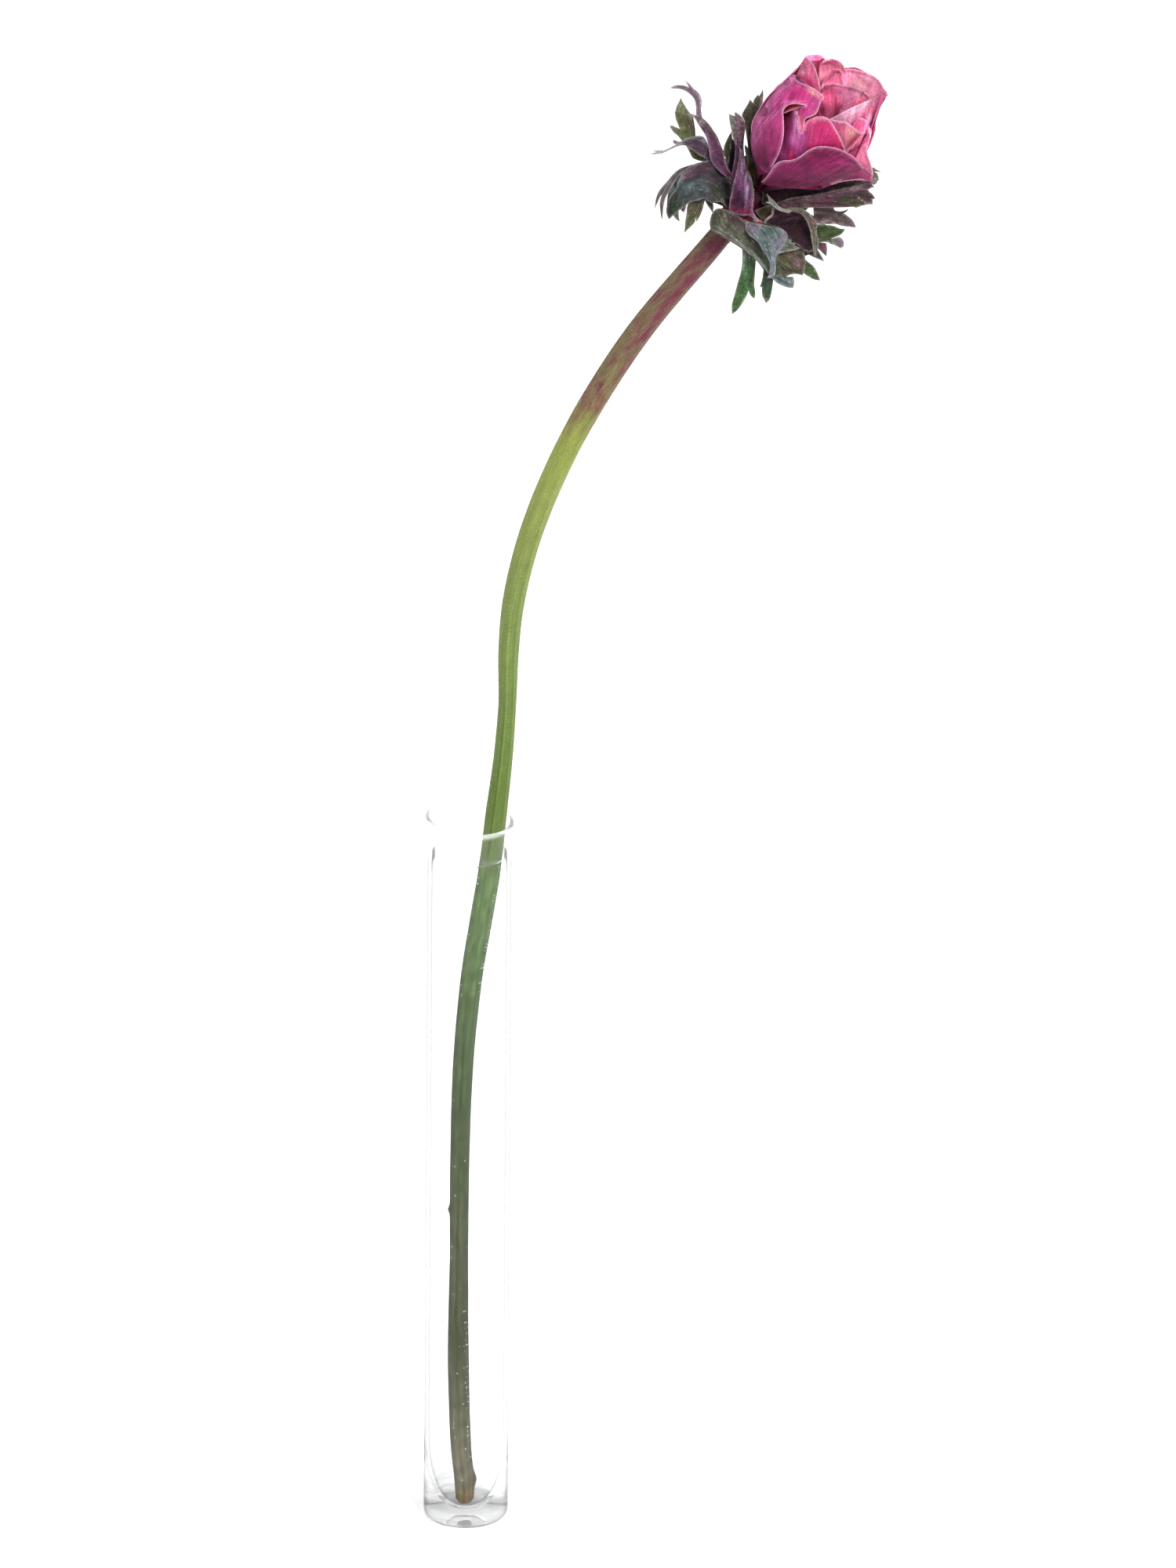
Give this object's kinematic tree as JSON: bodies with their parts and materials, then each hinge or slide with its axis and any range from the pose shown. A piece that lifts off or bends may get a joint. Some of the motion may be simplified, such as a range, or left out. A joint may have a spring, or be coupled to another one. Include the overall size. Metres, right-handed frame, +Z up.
{
  "type": "anemone flower",
  "caption": "Half-open pink anemone bud on a bent fleshy stem with a ruff of finely cut leaves, standing in a slim clear glass tube vase of water.",
  "frame": {"origin": "centre of the vase's foot, on the table", "axes": "+Z up along the vase, +X the side that the bud leans to, -Y the side that the picture looks from"},
  "size_m": [0.1175, 0.0444, 0.4139],
  "materials": {
    "vase_glass": "clear polished",
    "water": "clear",
    "stem": "satin, softly hairy",
    "ruff_leaf": "matte",
    "petal": "matte, velvety"
  },
  "bodies": {
    "root": {"glass_tube": "vase_glass", "water": "water", "stem": "stem", "ruff": "ruff_leaf", "bloom": "petal"}
  },
  "joints": []
}
